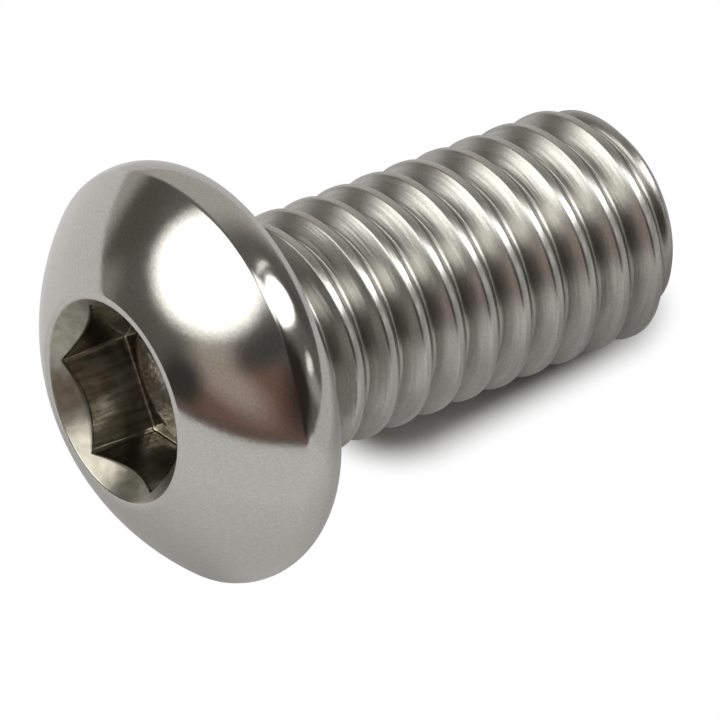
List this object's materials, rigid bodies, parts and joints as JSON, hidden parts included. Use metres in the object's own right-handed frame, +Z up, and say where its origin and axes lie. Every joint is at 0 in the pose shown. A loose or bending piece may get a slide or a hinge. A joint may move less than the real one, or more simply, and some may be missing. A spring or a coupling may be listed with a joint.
{
  "type": "button head screw",
  "caption": "Short machine screw with a low domed head, a hexagon socket and a thread along its whole shank, lying on its side.",
  "frame": {"origin": "on the surface that the screw lies on, under the middle of its box", "axes": "+Z up, +X from the head towards the tip as the screw lies, so that the screw's own axis dips towards +X by 10.5 degrees"},
  "size_m": [0.0158, 0.0104, 0.0103],
  "materials": {
    "bright_steel": "bright plain stainless steel, polished on the head and satin on the rolled thread"
  },
  "bodies": {
    "root": {"button_head_screw": "bright_steel"}
  },
  "joints": []
}
